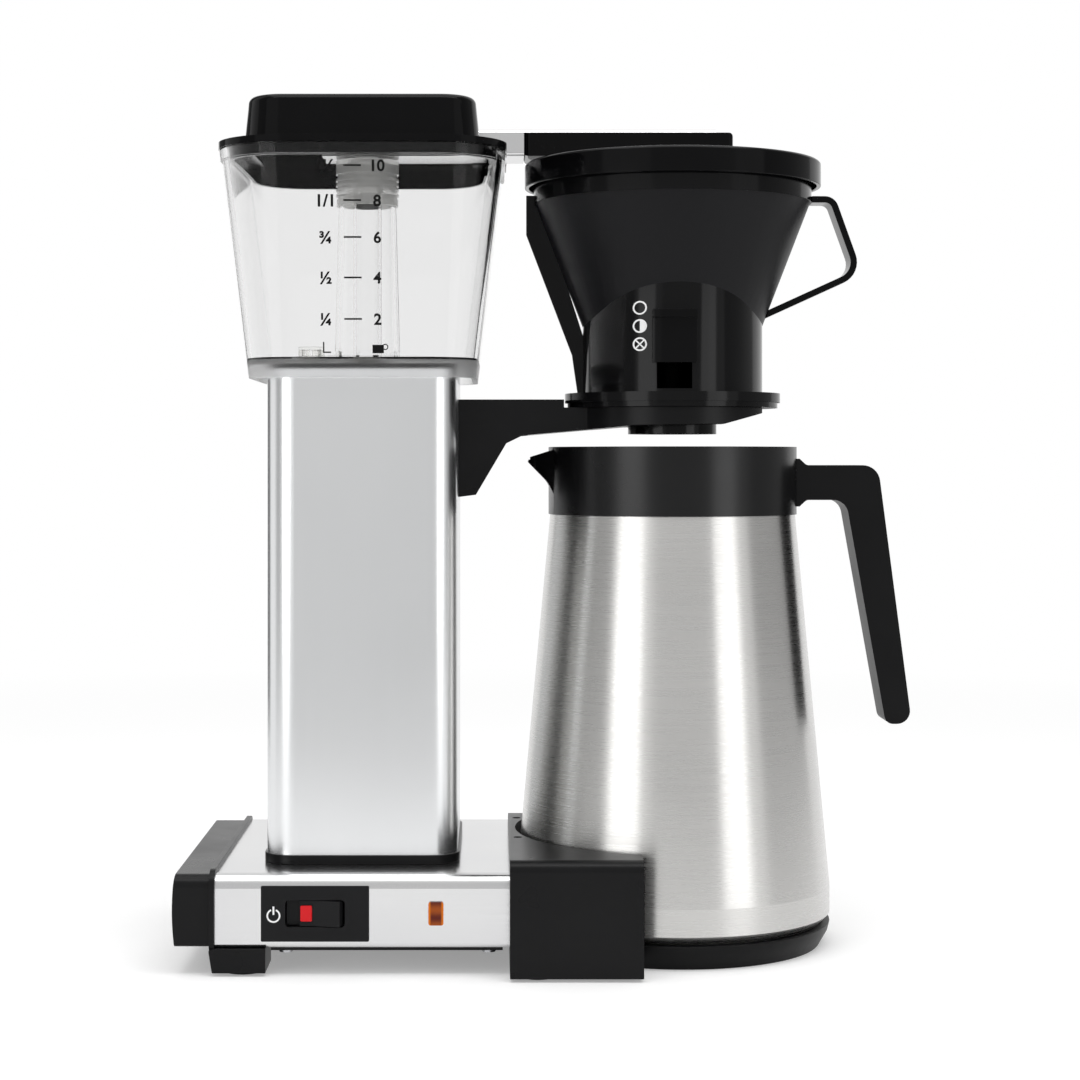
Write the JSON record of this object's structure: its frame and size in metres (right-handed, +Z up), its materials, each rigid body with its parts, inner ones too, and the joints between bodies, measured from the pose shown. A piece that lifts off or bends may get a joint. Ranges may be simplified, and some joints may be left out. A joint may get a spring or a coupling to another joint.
{
  "type": "drip coffee maker",
  "caption": "Drip coffee maker: metal base and column, clear water tank, cone filter basket on a side holder and a steel vacuum flask below it.",
  "frame": {"origin": "on the worktop plane, under the middle of the machine's box in plan", "axes": "+Z up, front faces -Y, the flask and basket are on the +X side of the column"},
  "size_m": [0.33, 0.173, 0.3835],
  "materials": {
    "polished_aluminium": "polished sheet",
    "satin_aluminium": "satin sheet",
    "black_moulding": "fine moulded texture",
    "black_gloss": "smooth moulded",
    "black_grained": "grained cone, smooth band",
    "black_hidden": "plain moulded",
    "clear_plastic": "clear moulded",
    "riser_glass": "clear tube",
    "pale_silicone": "translucent silicone",
    "white_plastic": "plain moulded",
    "black_rubber": "matt rubber",
    "copper_tube": "drawn tube",
    "cast_aluminium": "as cast",
    "plated_steel": "plated",
    "brushed_steel": "brushed round the body",
    "red_lens": "clear red",
    "amber_lens": "clear amber",
    "lamp_glass": "clear bulb"
  },
  "bodies": {
    "root": {"base_housing": "polished_aluminium", "left_end_cap": "black_moulding", "flask_bracket": "black_moulding", "bottom_plate": "black_hidden", "rubber_feet": "black_rubber", "bottom_screws": "plated_steel", "switch_plate": "black_gloss", "switch_body": "black_hidden", "signal_lens": "amber_lens", "signal_lamp": "lamp_glass", "lead_gland": "black_rubber", "terminal_block": "white_plastic", "column_plinth": "black_moulding", "column_sleeve": "satin_aluminium", "tank_seat": "black_moulding", "heater_tube": "copper_tube", "heater_block": "cast_aluminium", "heater_bracket": "plated_steel", "thermostat": "white_plastic", "inlet_hose": "pale_silicone", "riser_hose": "pale_silicone", "tank": "clear_plastic", "check_valve": "white_plastic", "riser_grommet": "pale_silicone", "riser_tube": "riser_glass", "riser_sleeve": "clear_plastic", "riser_collar": "pale_silicone", "basket_holder": "black_moulding", "holder_screws": "plated_steel"},
    "arm": {"outlet_arm": "polished_aluminium", "spray_block": "black_gloss", "spray_nozzle": "black_hidden"},
    "tank_lid": {"tank_lid": "black_gloss"},
    "basket": {"filter_basket": "black_grained", "basket_handle": "black_gloss", "basket_lid": "black_gloss"},
    "drip_stop": {"drip_slider": "black_grained", "drip_valve": "black_rubber"},
    "rocker": {"rocker": "black_gloss", "rocker_lens": "red_lens"},
    "flask": {"flask_shell": "brushed_steel", "flask_liner": "brushed_steel", "flask_base": "black_moulding", "flask_collar": "black_moulding", "flask_handle": "black_moulding", "handle_screws": "plated_steel"},
    "flask_lid": {"flask_lid": "black_gloss", "lid_tube": "black_hidden", "lid_gasket": "pale_silicone"}
  },
  "joints": [
    {"name": "arm_lift", "type": "slide", "parent": "root", "child": "arm", "axis": [0, 0, 1], "range_m": [0, 0.06]},
    {"name": "tank_lid_lift", "type": "slide", "parent": "arm", "child": "tank_lid", "axis": [0, 0, 1], "range_m": [0, 0.06]},
    {"name": "basket_slide", "type": "slide", "parent": "root", "child": "basket", "axis": [1, 0, 0], "range_m": [0, 0.15]},
    {"name": "drip_stop_slide", "type": "slide", "parent": "basket", "child": "drip_stop", "axis": [0, 0, -1], "range_m": [0, 0.0105]},
    {"name": "rocker_tilt", "type": "hinge", "parent": "root", "child": "rocker", "pos_m": [-0.1037, -0.07, 0.02695], "axis": [0, 0, 1], "range_deg": [0, 14]},
    {"name": "flask_slide", "type": "slide", "parent": "root", "child": "flask", "axis": [1, 0, 0], "range_m": [0, 0.17]},
    {"name": "flask_lid_turn", "type": "hinge", "parent": "flask", "child": "flask_lid", "pos_m": [0.05605, 0.0055, 0.22], "axis": [0, 0, 1], "range_deg": [-60, 0]}
  ]
}
